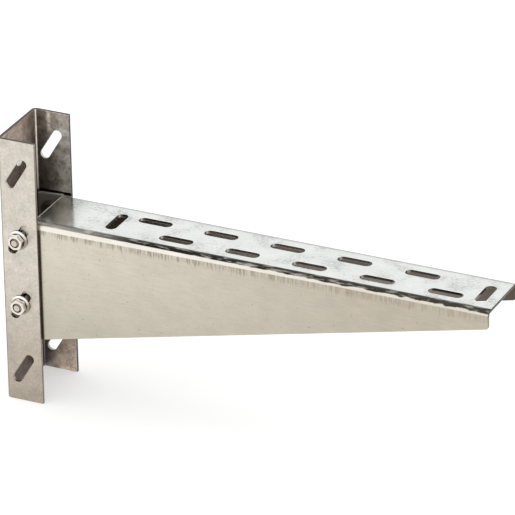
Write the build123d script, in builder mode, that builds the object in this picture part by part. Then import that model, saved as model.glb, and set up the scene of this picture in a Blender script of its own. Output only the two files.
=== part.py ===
from build123d import *
from math import cos, radians, sin, sqrt, tan
import os

# Cantilever bracket for cable tray: a slotted back channel that stands on the wall, and a tapered
# folded arm bolted between its flanges. Millimetres, +X out from the wall, +Z up, +Y across.
# The origin is on the wall face of the channel, at its middle both ways.

# Back channel
channel_sheet = 2.5
channel_bend = 1.0
channel_height = 200.0
channel_width = 55.0
channel_depth = 28.5
wall_hole = 9.0
wall_hole_from_end = 28.0

# Oblique slots, punched alike in the channel's flanges and in the arm's sides
side_slots = 4
side_slot_length = 25.5
side_slot_width = 7.0
side_slot_lean = 31.5
side_slot_setback = 14.0

# Arm
arm_sheet = 2.5
arm_bend = 1.5
arm_length = 360.0
arm_top_above_bolt = 14.0
arm_corner_below_bolt = 31.5
arm_tip_depth = 13.0
arm_tip_corner = 2.0
arm_side_clearance = 0.3
arm_top_cutback = 19.4
arm_ear_fall = 1.4

# Slots in the arm's top: two staggered rows along it, with one slot across it near either end
top_slot_length = 25.0
top_slot_width = 8.0
top_slot_pitch = 50.0
top_row_spacing = 19.0
cross_slot_from_root = 73.0
cross_slot_from_tip = 12.0

# Mushroom head bolts with a square neck, M6 x 12
thread_diameter = 6.0
bolt_end_projection = 0.7
bolt_end_chamfer = 0.8
bolt_head_diameter = 16.0
bolt_head_height = 3.6
bolt_head_rim = 0.8
bolt_head_bands = 2
bolt_neck_play = 0.3
bolt_neck_reach = 0.8

# Hexagon nuts with a flange, M6
nut_size = 10.0
nut_height = 6.0
nut_crown_inset = 0.25
nut_crown_angle = 30.0
nut_flange_margin = 2.1
nut_flange_rim = 1.1
nut_flange_angle = 25.0
thread_clearance = 0.05

# How far the arm's slots sit below the bolts, along the slots, and how each nut stands turned
upper_slot_drop = 6.0
lower_slot_drop = 4.0
upper_nut_turn = 14.0
lower_nut_turn = -15.0

# Places that follow from the sizes above
flange_outer = channel_width / 2
arm_outer = flange_outer - channel_sheet - arm_side_clearance
arm_inner = arm_outer - arm_sheet
side_slot_pitch = channel_height / side_slots
upper_bolt = side_slot_pitch * (side_slots // 2 - (side_slots - 1) / 2)
lower_bolt = upper_bolt - side_slot_pitch
arm_top = upper_bolt + arm_top_above_bolt
arm_bottom = lower_bolt - arm_corner_below_bolt
arm_root = channel_sheet + channel_bend
arm_tip = arm_root + arm_length
arm_top_start = arm_root + arm_top_cutback
first_cross_slot = arm_root + cross_slot_from_root
last_cross_slot = arm_tip - cross_slot_from_tip
half_pitch = top_slot_pitch / 2
half_pitches = int(round((last_cross_slot - first_cross_slot) / half_pitch, 6))
top_slots_per_row = (half_pitches - 1) // 2
lean_out = sin(radians(side_slot_lean))
lean_up = cos(radians(side_slot_lean))
bolt_length = arm_sheet + arm_side_clearance + channel_sheet + nut_height + bolt_end_projection
bolt_neck_depth = arm_sheet + arm_side_clearance + bolt_neck_reach
bolt_neck_size = side_slot_width - 2 * bolt_neck_play


def round_bends(section, back, inner_radius, thickness):
    """Rounds the two bends of a U section, inside and then outside. Its back lies last along an axis."""
    fillet(section.vertices().group_by(back)[-2], radius=inner_radius)
    fillet(section.vertices().group_by(back)[-1], radius=inner_radius + thickness)


def side_slot():
    """One oblique slot, seen from the side, leaning out towards its upper end."""
    SlotOverall(side_slot_length, side_slot_width, rotation=90 - side_slot_lean)


# Back channel: the web stands on the wall and the two flanges stand out from it
with BuildPart() as back_channel:
    with BuildSketch(Plane.XY.offset(-channel_height / 2)) as channel_section:
        Rectangle(channel_depth, channel_width, align=(Align.MIN, Align.CENTER))
        with Locations((channel_sheet, 0)):
            Rectangle(
                channel_depth,
                channel_width - 2 * channel_sheet,
                align=(Align.MIN, Align.CENTER),
                mode=Mode.SUBTRACT,
            )
        round_bends(channel_section, -Axis.X, channel_bend, channel_sheet)
    extrude(amount=channel_height)

    # The punch goes through both flanges, so that their slots face each other
    with BuildSketch(Plane.XZ) as flange_slots:
        with Locations((side_slot_setback, 0)):
            with GridLocations(0, side_slot_pitch, 1, side_slots):
                side_slot()
    extrude(amount=channel_width, both=True, mode=Mode.SUBTRACT)

    # Wall fixing holes on the web's centre line
    with BuildSketch(Plane.YZ) as wall_holes:
        with GridLocations(0, channel_height - 2 * wall_hole_from_end, 1, 2):
            Circle(wall_hole / 2)
    extrude(amount=channel_sheet, mode=Mode.SUBTRACT)

back_channel.part.label = "back_channel"


# Arm: a folded inverted U that tapers to the tip, with its top cut back at the root
with BuildPart() as cantilever_arm:
    with BuildSketch(Plane.YZ.offset(arm_top_start)) as arm_section:
        with Locations((0, arm_top)):
            Rectangle(2 * arm_outer, arm_top - arm_bottom, align=(Align.CENTER, Align.MAX))
        with Locations((0, arm_top - arm_sheet)):
            Rectangle(
                2 * arm_inner,
                arm_top - arm_bottom,
                align=(Align.CENTER, Align.MAX),
                mode=Mode.SUBTRACT,
            )
        round_bends(arm_section, Axis.Y, arm_bend, arm_sheet)
    extrude(amount=arm_tip - arm_top_start)

    # Past the cut back top, the sides run on to the web as flat ears
    for side in (1, -1):
        with BuildSketch(Plane.XZ.offset(side * arm_inner)) as ear:
            with BuildLine():
                Polyline(
                    (arm_root, arm_bottom),
                    (arm_root, arm_top - arm_ear_fall),
                    (arm_top_start, arm_top),
                    (arm_top_start, arm_bottom),
                    close=True,
                )
            make_face()
        extrude(amount=side * arm_sheet)

    # The taper: what lies under a straight line from the root corner to the tip is cut away
    with BuildSketch(Plane.XZ) as taper:
        with BuildLine():
            Polyline(
                (arm_root, arm_bottom),
                (arm_tip, arm_top - arm_tip_depth),
                (arm_tip, arm_bottom),
                close=True,
            )
        make_face()
    extrude(amount=channel_width, both=True, mode=Mode.SUBTRACT)
    tip_edges = cantilever_arm.edges().filter_by(Axis.Y).group_by(Axis.X)[-1]
    fillet(tip_edges.group_by(Axis.Z)[0], radius=arm_tip_corner)

    # Side slots on the slant of the channel's, sitting lower by each one's drop
    with BuildSketch(Plane.XZ) as arm_side_slots:
        for height, drop in ((upper_bolt, upper_slot_drop), (lower_bolt, lower_slot_drop)):
            with Locations((side_slot_setback - drop * lean_out, height - drop * lean_up)):
                side_slot()
    extrude(amount=channel_width, both=True, mode=Mode.SUBTRACT)

    # Top slots: the rear row starts half a pitch after the cross slot, the front row a whole one
    with BuildSketch(Plane.XY.offset(arm_top)) as top_slots:
        for row_start, row_side in ((half_pitch, 1), (top_slot_pitch, -1)):
            for i in range(top_slots_per_row):
                slot_x = first_cross_slot + row_start + i * top_slot_pitch
                with Locations((slot_x, row_side * top_row_spacing / 2)):
                    SlotOverall(top_slot_length, top_slot_width)
        with Locations((first_cross_slot, 0), (last_cross_slot, 0)):
            SlotOverall(top_slot_length, top_slot_width, rotation=90)
    extrude(amount=-arm_sheet, mode=Mode.SUBTRACT)

cantilever_arm.part.label = "cantilever_arm"


def turned_profile_plane(seat):
    """The plane for a profile turned about the seat's normal: across it is radius, up it is height."""
    return Plane(seat.origin, x_dir=seat.x_dir, z_dir=-seat.y_dir)


def make_bolt(seat):
    """A bolt whose head bears on the seat plane, with its square neck set square to the plane's x.

    The head's low crown is turned as shallow cones that follow one large radius.
    """
    head_radius = bolt_head_diameter / 2
    shank_radius = thread_diameter / 2
    crown_rise = bolt_head_height - bolt_head_rim
    crown_radius = (head_radius**2 + crown_rise**2) / (2 * crown_rise)
    crown = []
    for band in range(bolt_head_bands + 1):
        r = head_radius * band / bolt_head_bands
        crown.append((r, crown_radius - bolt_head_height - sqrt(crown_radius**2 - r**2)))
    with BuildPart() as bolt:
        with BuildSketch(turned_profile_plane(seat)) as outline:
            with BuildLine():
                Polyline(
                    *crown,
                    (head_radius, 0),
                    (shank_radius, 0),
                    (shank_radius, bolt_length - bolt_end_chamfer),
                    (shank_radius - bolt_end_chamfer, bolt_length),
                    (0, bolt_length),
                    close=True,
                )
            make_face()
        revolve(axis=Axis(seat.origin, seat.z_dir))
        with BuildSketch(seat) as neck:
            Rectangle(bolt_neck_size, bolt_neck_size)
        extrude(amount=bolt_neck_depth)
    return bolt.part


def make_nut(seat, turn):
    """A nut whose flange bears on the seat plane, turned by so many degrees about its axis."""
    flat_radius = nut_size / 2
    flange_radius = flat_radius + nut_flange_margin
    flange_height = nut_flange_rim + nut_flange_margin * tan(radians(nut_flange_angle))
    crown_radius = flat_radius - nut_crown_inset
    crown_fall = (nut_size - crown_radius) * tan(radians(nut_crown_angle))
    axis = Axis(seat.origin, seat.z_dir)
    with BuildPart() as nut:
        with BuildSketch(seat) as hexagon:
            RegularPolygon(flat_radius, 6, major_radius=False, rotation=turn)
        extrude(amount=nut_height)

        # The hexagon's corners fall away under a cone
        with BuildSketch(turned_profile_plane(seat)) as crown:
            with BuildLine():
                Polyline(
                    (0, 0),
                    (nut_size, 0),
                    (nut_size, nut_height - crown_fall),
                    (crown_radius, nut_height),
                    (0, nut_height),
                    close=True,
                )
            make_face()
        revolve(axis=axis, mode=Mode.INTERSECT)

        with BuildSketch(turned_profile_plane(seat)) as flange:
            with BuildLine():
                Polyline(
                    (0, 0),
                    (flange_radius, 0),
                    (flange_radius, nut_flange_rim),
                    (flat_radius, flange_height),
                    (0, flange_height),
                    close=True,
                )
            make_face()
        revolve(axis=axis)

        with BuildSketch(seat) as bore:
            Circle(thread_diameter / 2 + thread_clearance)
        extrude(amount=nut_height, mode=Mode.SUBTRACT)
    return nut.part


# Fasteners: on either side of the bracket, an upper and a lower bolt with its nut
slot_direction = (lean_out, 0, lean_up)
fasteners = []
for side_name, side in (("front", -1), ("rear", 1)):
    for level, height, turn in (
        ("upper", upper_bolt, upper_nut_turn),
        ("lower", lower_bolt, lower_nut_turn),
    ):
        head_seat = Plane(
            (side_slot_setback, side * arm_inner, height),
            x_dir=slot_direction,
            z_dir=(0, side, 0),
        )
        nut_seat = Plane(
            (side_slot_setback, side * flange_outer, height),
            x_dir=(1, 0, 0),
            z_dir=(0, side, 0),
        )
        bolt = make_bolt(head_seat)
        bolt.label = f"bolt_{side_name}_{level}"
        nut = make_nut(nut_seat, turn)
        nut.label = f"nut_{side_name}_{level}"
        fasteners += [bolt, nut]


os.makedirs("parts", exist_ok=True)
for piece in [back_channel.part, cantilever_arm.part, *fasteners]:
    export_step(piece, f"parts/{piece.label}.step")
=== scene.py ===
from math import pi, radians, sqrt

import bmesh
import bpy
from mathutils import Euler, Matrix, Vector


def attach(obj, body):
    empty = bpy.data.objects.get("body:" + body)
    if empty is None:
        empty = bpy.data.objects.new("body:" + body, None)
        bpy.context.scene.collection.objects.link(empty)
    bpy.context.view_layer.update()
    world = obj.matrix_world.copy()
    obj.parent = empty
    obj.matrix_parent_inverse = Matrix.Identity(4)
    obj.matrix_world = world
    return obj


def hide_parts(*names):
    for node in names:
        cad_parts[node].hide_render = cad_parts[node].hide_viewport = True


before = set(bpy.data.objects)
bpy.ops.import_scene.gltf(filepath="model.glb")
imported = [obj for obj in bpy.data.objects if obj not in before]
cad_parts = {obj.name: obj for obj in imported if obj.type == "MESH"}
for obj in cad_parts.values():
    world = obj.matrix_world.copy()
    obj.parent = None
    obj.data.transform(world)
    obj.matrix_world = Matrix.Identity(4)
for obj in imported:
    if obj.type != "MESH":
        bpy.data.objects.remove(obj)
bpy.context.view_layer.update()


# Back channel. The upright that stands on the wall: a U pressed from 2.5 mm galvanised sheet, open
# towards the arm. The punch goes through both flanges at once, and leaves edges that are a little
# rounded and duller than the zinc of the faces.
MM = 0.001
CHANNEL_SHEET = 2.5
CHANNEL_WIDTH = 55.0
CHANNEL_HEIGHT = 200.0
CHANNEL_DEPTH = 28.5
CHANNEL_BEND = 1.0
WALL_HOLE = 9.0
WALL_HOLE_FROM_END = 28.0
SIDE_SLOTS = 4
SIDE_SLOT_LENGTH = 25.5
SIDE_SLOT_WIDTH = 7.0
SIDE_SLOT_LEAN = 31.5
SIDE_SLOT_SETBACK = 14.0
SIDE_SLOT_PITCH = 50.0
SHEARED_EDGE_ROUNDING = 0.35
ARM_TOP = 39.0
# Cutters reach this far, well past what they cut
CUT_LONG = 500.0
CUT_WIDE = 200.0
WEB_CUT = 30.0
CHANNEL_UPPER_LIT_ZINC = "#d2cbbf"
CHANNEL_LOWER_SHADED_ZINC = "#b0a698"
CHANNEL_INNER_ZINC = "#f0eae1"
CHANNEL_INNER_FOOT = "#dac8b6"
CHANNEL_CORNER_SHADE = "#7f7b76"
CHANNEL_WEB_SHADED_ZINC = "#b0a094"
CHANNEL_WEB_DEEP_SHADE = "#70645c"
# The rubbed streak, and painted highlights on the inner corners and the flecks
CHANNEL_BURNISH_AND_HIGHLIGHT = "#f6f0e6"
CHANNEL_END_STEEL = "#5a534c"
# Painted shadow in the gap beside the arm's top edge
CHANNEL_GAP_SHADOW = "#1e1b18"
CHANNEL_BEND_SHADE = "#7b7268"
FREE_EDGE_STEEL = "#8d8379"
REAR_EDGE_SHADED_STEEL = "#4b443e"
SHEARED_STEEL = "#5f564e"
# How dark and how light the blotches and the grain make the zinc
CHANNEL_MOTTLE = (0.84, 1.11)
CHANNEL_GRAIN = (0.9, 1.09)
# Where the zinc changes: the axis, and the millimetres along it where the change begins and ends
CHANNEL_CHANGES = {
    "upper half": ("Z", -CHANNEL_HEIGHT / 2, 10.0),
    "off corner": ("X", CHANNEL_SHEET, 21.375),
    "foot": ("Z", -40.0, -64.0),
    "top of web": ("Z", 70.0, 98.0),
    "lit strip by free edge": ("X", 15.675, 25.08),
}
# Marks: within how many millimetres of its line or face each is full, and where it has faded out
CORNER_LINE_FULL, CORNER_LINE_FADED = 0.7, 1.1
RUB_OUT = 12.7
RUB_FOOT = 82.0
RUB_RUN_IN = 5.0
RUB_FULL, RUB_FADED = 0.6, 2.2
GAP_SHADOW_UP = 39.1
GAP_SHADOW_FULL, GAP_SHADOW_FADED = 0.8, 1.3
OUTER_BEND_OUT_FULL, OUTER_BEND_OUT_FADED = 1.0, 2.4
OUTER_BEND_IN_FULL, OUTER_BEND_IN_FADED = 2.0, 3.2
RUB_ROUGHNESS = 0.8
FREE_EDGE_STRIP_ROUGHER = 0.15
# A face counts as reached when a point is this near to it
FACE_SLACK = 0.15
END_SLACK = 0.1


def linear(hex_colour):
    """An sRGB hex colour as the linear one that a shader socket takes."""
    parts = [int(hex_colour[i : i + 2], 16) / 255 for i in (1, 3, 5)]
    return (*[c / 12.92 if c <= 0.04045 else ((c + 0.055) / 1.055) ** 2.4 for c in parts], 1)


def put(tree, kind, inputs=None, take=0, **settings):
    """Adds a node and gives its first output, the one that take names, or with None the node itself.

    Settings are the node's properties. Inputs gives each socket a value, a link or a list of links.
    """
    node = tree.nodes.new(kind)
    for name, value in settings.items():
        setattr(node, name, value)
    for socket, value in (inputs or {}).items():
        links = value if isinstance(value, list) else [value]
        if isinstance(links[0], bpy.types.NodeSocket):
            for link in links:
                tree.links.new(link, node.inputs[socket])
        else:
            node.inputs[socket].default_value = value
    return node.outputs[take] if take is not None and node.outputs else node


def new_material(name):
    """An empty material and its node tree."""
    material = bpy.data.materials.new(name)
    material.use_nodes = True
    material.node_tree.nodes.clear()
    return material, material.node_tree


def zinc_pattern(tree, place, size_mm, detail, roughness, drawn_out=None):
    """A random pattern with features about so many millimetres across, drawn out where asked."""
    if drawn_out:
        place = put(tree, "ShaderNodeMapping", {"Vector": place, "Scale": drawn_out})
    return put(tree, "ShaderNodeTexNoise", {
        "Vector": place, "Scale": 1 / (size_mm * MM), "Detail": detail, "Roughness": roughness,
    })


def all_of(tree, *masks):
    """The product of masks, which is the mask of where all of them lie."""
    shared = masks[0]
    for mask in masks[1:]:
        shared = put(tree, "ShaderNodeMath", {0: shared, 1: mask}, operation="MULTIPLY")
    return shared


def coated(tree, colour, *coats):
    """A colour with each coat over it as far as the coat's mask says. Colours are hex or links."""
    for mask, coat in coats:
        under, over = (linear(c) if isinstance(c, str) else c for c in (colour, coat))
        colour = put(tree, "ShaderNodeMix", {"Factor": mask, 6: under, 7: over}, data_type="RGBA", take=2)
    return colour


def mottled(tree, colour, *patterns):
    """A colour made darker and lighter by patterns, each given with its darkest and lightest shade."""
    for pattern, (darkest, lightest) in patterns:
        shade = put(tree, "ShaderNodeMapRange", {
            "Value": pattern, "From Min": 0.3, "From Max": 0.7, "To Min": darkest, "To Max": lightest,
        })
        colour = put(tree, "ShaderNodeVectorMath", {0: colour, "Scale": shade}, operation="SCALE")
    return colour


def bare_metal(tree, colour, roughness, **more):
    """Closes a material's tree as metal."""
    shader = put(tree, "ShaderNodeBsdfPrincipled", {
        "Base Color": colour, "Metallic": 1.0, "Roughness": roughness, **more,
    })
    put(tree, "ShaderNodeOutputMaterial", {"Surface": shader})


def new_tree(name, sizes):
    """A geometry tree with a named input in metres for each size given in millimetres."""
    tree = bpy.data.node_groups.new(name, "GeometryNodeTree")
    tree.interface.new_socket("Geometry", in_out="INPUT", socket_type="NodeSocketGeometry")
    for size_name, size in sizes.items():
        socket = tree.interface.new_socket(size_name, in_out="INPUT", socket_type="NodeSocketFloat")
        socket.default_value = size * MM
    tree.interface.new_socket("Geometry", in_out="OUTPUT", socket_type="NodeSocketGeometry")
    return tree, put(tree, "NodeGroupInput", take=None).outputs


def end_tree(tree, geometry, material):
    """Makes the instances real, sets the material and closes the tree."""
    whole = put(tree, "GeometryNodeRealizeInstances", {0: geometry})
    whole = put(tree, "GeometryNodeSetMaterial", {"Geometry": whole, "Material": material})
    put(tree, "NodeGroupOutput", {0: whole})


def made_by(tree, name):
    """The plain mesh that a tree makes."""
    piece = bpy.data.objects.new(name, bpy.data.meshes.new(name))
    bpy.context.scene.collection.objects.link(piece)
    piece.modifiers.new("shape", "NODES").node_group = tree
    bpy.context.view_layer.update()
    shape = bpy.data.meshes.new_from_object(piece.evaluated_get(bpy.context.evaluated_depsgraph_get()))
    bpy.data.objects.remove(piece)
    shape.name = name
    return shape


def outline_of(tree, width, height, radius):
    """A rounded rectangle about the origin."""
    outline = put(tree, "GeometryNodeCurvePrimitiveQuadrilateral", {"Width": width, "Height": height})
    return put(tree, "GeometryNodeFilletCurve", mode="POLY", inputs={
        "Curve": outline, "Count": 8, "Radius": radius, "Limit Radius": True,
    })


def prism(tree, outline, length, turned, moved):
    """The solid that an outline sweeps when it is carried along Z, then turned and moved to its place."""
    end = put(tree, "ShaderNodeCombineXYZ", {"Z": length})
    path = put(tree, "GeometryNodeCurvePrimitiveLine", {"End": end})
    solid = put(tree, "GeometryNodeCurveToMesh", {
        "Curve": path, "Profile Curve": outline, "Fill Caps": True,
    })
    solid = put(tree, "GeometryNodeMergeByDistance", {"Geometry": solid, "Distance": 0.001 * MM})
    return put(tree, "GeometryNodeTransform", {
        "Geometry": solid, "Rotation": turned, "Translation": moved,
    })


def row_of(tree, shape, count, first, step):
    """A row of copies of a shape, from the first one's place by steps."""
    line = put(tree, "GeometryNodeMeshLine", {"Count": count, "Start Location": first, "Offset": step})
    row = put(tree, "GeometryNodeInstanceOnPoints", {"Points": line, "Instance": shape})
    return put(tree, "GeometryNodeRealizeInstances", {0: row})


def folded_sheet(tree, piece_name):
    """The sheet that a tree makes, with its sheared edges eased."""
    piece = bpy.data.objects.new(piece_name, made_by(tree, piece_name))
    bpy.context.scene.collection.objects.link(piece)
    work = bmesh.new()
    work.from_mesh(piece.data)
    bmesh.ops.remove_doubles(work, verts=work.verts, dist=0.002 * MM)
    bmesh.ops.dissolve_limit(work, angle_limit=radians(0.5), verts=work.verts, edges=work.edges)
    work.to_mesh(piece.data)
    work.free()
    piece.data.materials.append(sheared_edge)
    piece.data.shade_smooth()
    easing = piece.modifiers.new("eased edges", "BEVEL")
    easing.width = SHEARED_EDGE_ROUNDING * MM
    easing.segments = 2
    easing.material = 1
    easing.limit_method = "ANGLE"
    easing.angle_limit = radians(40)
    easing.use_clamp_overlap = False
    flatness = piece.modifiers.new("flat faces shade flat", "WEIGHTED_NORMAL")
    flatness.weight = 100
    bpy.context.view_layer.update()
    eased = bpy.data.meshes.new_from_object(piece.evaluated_get(bpy.context.evaluated_depsgraph_get()))
    piece.modifiers.clear()
    piece.data = eased
    piece.data.name = piece_name
    return piece


# Sheared steel: the punch and the shears wipe the zinc thin, so the eased edge is a dark satin line
sheared_edge, tree = new_material("Galvanised steel, sheared edge")
bare_metal(tree, linear(SHEARED_STEEL), 0.42)

# Hot dip galvanised steel: a satin metal whose zinc has frozen in faint blotches some millimetres
# across, with a grain that is drawn coarser than the real one so that it shows. Inside the fold it is
# painted darker towards the corners and on the web, most of all low on the web, as shade, and is
# browner at the foot
channel_zinc, tree = new_material("Galvanised steel sheet, channel")
place = put(tree, "ShaderNodeTexCoord", take="Object")
axis = put(tree, "ShaderNodeSeparateXYZ", {0: place}, take=None).outputs
across = put(tree, "ShaderNodeMath", {0: axis["Y"]}, operation="ABSOLUTE")
from_middle = put(tree, "ShaderNodeMath", {0: axis["Z"]}, operation="ABSOLUTE")
blotches = zinc_pattern(tree, place, 9, 4.0, 0.6)
specks = zinc_pattern(tree, place, 1.6, 2.0, 0.5)
inner_face = CHANNEL_WIDTH / 2 - CHANNEL_SHEET
region = {
    name: put(tree, "ShaderNodeMath", {0: distance, 1: limit * MM}, operation=f"{side}_THAN")
    for name, distance, side, limit in (
        ("web", axis["X"], "LESS", CHANNEL_SHEET + FACE_SLACK),
        ("between flanges", across, "LESS", inner_face + FACE_SLACK),
        ("past web", axis["X"], "GREATER", CHANNEL_SHEET - FACE_SLACK),
        ("rear", axis["Y"], "GREATER", 0.0),
        ("over the arm", axis["Z"], "GREATER", ARM_TOP),
        ("flanges", axis["X"], "GREATER", CHANNEL_SHEET + CHANNEL_BEND),
        ("free edges", axis["X"], "GREATER", CHANNEL_DEPTH - END_SLACK),
        ("ends", from_middle, "GREATER", CHANNEL_HEIGHT / 2 - END_SLACK),
    )
}
change = {
    name: put(tree, "ShaderNodeMapRange", {
        "Value": axis[way], "From Min": begins * MM, "From Max": ends * MM,
    }, interpolation_type="SMOOTHSTEP")
    for name, (way, begins, ends) in CHANNEL_CHANGES.items()
}
is_inside = all_of(tree, region["between flanges"], region["past web"])
# The outside is painted lighter towards the top and darker lower down, as painted shade
outside = coated(tree, CHANNEL_LOWER_SHADED_ZINC, (change["upper half"], CHANNEL_UPPER_LIT_ZINC))
inner_zinc = coated(tree, CHANNEL_INNER_ZINC, (change["foot"], CHANNEL_INNER_FOOT))
web_zinc = coated(tree, CHANNEL_WEB_DEEP_SHADE, (change["top of web"], CHANNEL_WEB_SHADED_ZINC))
inside = coated(
    tree, CHANNEL_CORNER_SHADE, (change["off corner"], inner_zinc), (region["web"], web_zinc),
)
# Inside the fold it is blotched more strongly, with bright flecks towards the free edge that are painted
# highlights where light reaches in
patches = zinc_pattern(tree, place, 4.5, 4.0, 0.7)
patches = put(tree, "ShaderNodeMapRange", {
    "Value": patches, "From Min": 0.35, "From Max": 0.68, "To Min": 0.72, "To Max": 1.3,
})
inside = put(tree, "ShaderNodeVectorMath", {0: inside, "Scale": patches}, operation="SCALE")
highlight_flecks = zinc_pattern(tree, place, 1.3, 3.0, 0.7)
highlight_flecks = put(tree, "ShaderNodeMapRange", {
    "Value": highlight_flecks, "From Min": 0.5, "From Max": 0.64, "To Min": 0.0, "To Max": 0.9,
})
highlight_flecks = all_of(tree, highlight_flecks, change["lit strip by free edge"])
# One bright streak is rubbed into the rear flange, from beside its top slot up to the end
off_rub = put(tree, "ShaderNodeMath", {0: axis["X"], 1: RUB_OUT * MM}, operation="SUBTRACT")
off_rub = put(tree, "ShaderNodeMath", {0: off_rub}, operation="ABSOLUTE")
rub = put(tree, "ShaderNodeMapRange", {
    "Value": off_rub, "From Min": RUB_FADED * MM, "From Max": RUB_FULL * MM,
})
rub_up = put(tree, "ShaderNodeMapRange", {
    "Value": axis["Z"], "From Min": RUB_FOOT * MM, "From Max": (RUB_FOOT + RUB_RUN_IN) * MM,
})
worn_through = put(tree, "ShaderNodeMapRange", {
    "Value": specks, "From Min": 0.35, "From Max": 0.6, "To Min": 0.25, "To Max": 0.85,
})
rub = all_of(tree, rub, rub_up, region["rear"], worn_through)
# Above the arm a thin line along each inner corner is painted bright, as the highlight on the bend
corner_y = put(tree, "ShaderNodeMapRange", {
    "Value": across, "From Min": (inner_face - CORNER_LINE_FADED) * MM,
    "From Max": (inner_face - CORNER_LINE_FULL) * MM,
})
corner_x = put(tree, "ShaderNodeMapRange", {
    "Value": axis["X"], "From Min": (CHANNEL_SHEET + CORNER_LINE_FADED) * MM,
    "From Max": (CHANNEL_SHEET + CORNER_LINE_FULL) * MM,
})
corner_highlight = all_of(tree, corner_y, corner_x, region["over the arm"])
# A dark line is painted along the arm's top edge as the shadow in the gap, where the flange all but touches
# it
off_line = put(tree, "ShaderNodeMath", {0: axis["Z"], 1: GAP_SHADOW_UP * MM}, operation="SUBTRACT")
off_line = put(tree, "ShaderNodeMath", {0: off_line}, operation="ABSOLUTE")
gap_shadow = put(tree, "ShaderNodeMapRange", {
    "Value": off_line, "From Min": GAP_SHADOW_FULL * MM, "From Max": GAP_SHADOW_FADED * MM,
    "To Min": 1.0, "To Max": 0.0,
}, interpolation_type="SMOOTHSTEP")
gap_shadow = all_of(tree, gap_shadow, region["flanges"])
inside = coated(
    tree, inside, (highlight_flecks, CHANNEL_BURNISH_AND_HIGHLIGHT), (rub, CHANNEL_BURNISH_AND_HIGHLIGHT), (corner_highlight, CHANNEL_BURNISH_AND_HIGHLIGHT),
    (gap_shadow, CHANNEL_GAP_SHADOW),
)
# The free edges and the ends are sheared, the ends darker and the rear edge painted darker as shade. The
# outer bends are painted darker, as shade where they turn from the light
edge_steel = coated(tree, FREE_EDGE_STEEL, (region["rear"], REAR_EDGE_SHADED_STEEL))
bend_x = put(tree, "ShaderNodeMapRange", {
    "Value": axis["X"], "From Min": OUTER_BEND_OUT_FADED * MM, "From Max": OUTER_BEND_OUT_FULL * MM,
})
bend_y = put(tree, "ShaderNodeMapRange", {
    "Value": across, "From Min": (CHANNEL_WIDTH / 2 - OUTER_BEND_IN_FADED) * MM,
    "From Max": (CHANNEL_WIDTH / 2 - OUTER_BEND_IN_FULL) * MM,
})
on_bend = all_of(tree, bend_x, bend_y)
zinc = coated(
    tree, outside, (is_inside, inside), (region["free edges"], edge_steel),
    (region["ends"], CHANNEL_END_STEEL), (on_bend, CHANNEL_BEND_SHADE),
)
zinc = mottled(tree, zinc, (blotches, CHANNEL_MOTTLE), (specks, CHANNEL_GRAIN))
# The strip with the flecks is a little rougher than the rest, and the rubbed streak is scraped matt
sheen = put(tree, "ShaderNodeMapRange", {
    "Value": blotches, "From Min": 0.3, "From Max": 0.7, "To Min": 0.34, "To Max": 0.46,
})
rougher = all_of(tree, change["lit strip by free edge"], is_inside, FREE_EDGE_STRIP_ROUGHER)
sheen = put(tree, "ShaderNodeMath", {0: sheen, 1: rougher}, operation="ADD")
scraped = all_of(tree, rub, is_inside)
sheen = put(tree, "ShaderNodeMix", {"Factor": scraped, 2: sheen, 3: RUB_ROUGHNESS})
relief = put(tree, "ShaderNodeBump", {"Height": specks, "Distance": 0.05 * MM, "Strength": 0.35})
bare_metal(tree, zinc, sheen, Normal=relief)

tree, size = new_tree("Slotted back channel", {
    "Height": CHANNEL_HEIGHT, "Foot": -CHANNEL_HEIGHT / 2, "Depth": CHANNEL_DEPTH, "Sheet": CHANNEL_SHEET,
    "Outer Width": CHANNEL_WIDTH, "Inner Width": CHANNEL_WIDTH - 2 * CHANNEL_SHEET,
    "Outer Bend": CHANNEL_BEND + CHANNEL_SHEET, "Inner Bend": CHANNEL_BEND,
    "Slot Length": SIDE_SLOT_LENGTH, "Slot Width": SIDE_SLOT_WIDTH, "Slot Setback": SIDE_SLOT_SETBACK,
    "Slot Pitch": SIDE_SLOT_PITCH, "First Slot": (1 - SIDE_SLOTS) / 2 * SIDE_SLOT_PITCH,
    "Wall Hole Radius": WALL_HOLE / 2, "First Hole": WALL_HOLE_FROM_END - CHANNEL_HEIGHT / 2,
    "Hole Pitch": CHANNEL_HEIGHT - 2 * WALL_HOLE_FROM_END,
})
# The U: a block with round corners, less a narrower one that starts a sheet's thickness in
foot = put(tree, "ShaderNodeCombineXYZ", {"X": size["Outer Width"], "Z": size["Foot"]})
twice = put(tree, "ShaderNodeMath", {0: size["Outer Width"], 1: 2.0}, operation="MULTIPLY")
outer = outline_of(tree, twice, size["Outer Width"], size["Outer Bend"])
block = prism(tree, outer, size["Height"], (0, 0, 0), foot)
inset = put(tree, "ShaderNodeMath", {0: size["Outer Width"], 1: size["Sheet"]}, operation="ADD")
below = put(tree, "ShaderNodeCombineXYZ", {"X": inset, "Z": -CUT_LONG / 2 * MM})
inner = outline_of(tree, twice, size["Inner Width"], size["Inner Bend"])
hollow = prism(tree, inner, CUT_LONG * MM, (0, 0, 0), below)
excess_size = Vector((CUT_WIDE, CUT_WIDE, CUT_LONG)) * MM
excess = put(tree, "GeometryNodeMeshCube", {"Size": excess_size}, take="Mesh")
excess_x = put(tree, "ShaderNodeMath", {0: size["Depth"], 1: CUT_WIDE / 2 * MM}, operation="ADD")
excess_at = put(tree, "ShaderNodeCombineXYZ", {"X": excess_x})
excess = put(tree, "GeometryNodeTransform", {"Geometry": excess, "Translation": excess_at})
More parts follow.
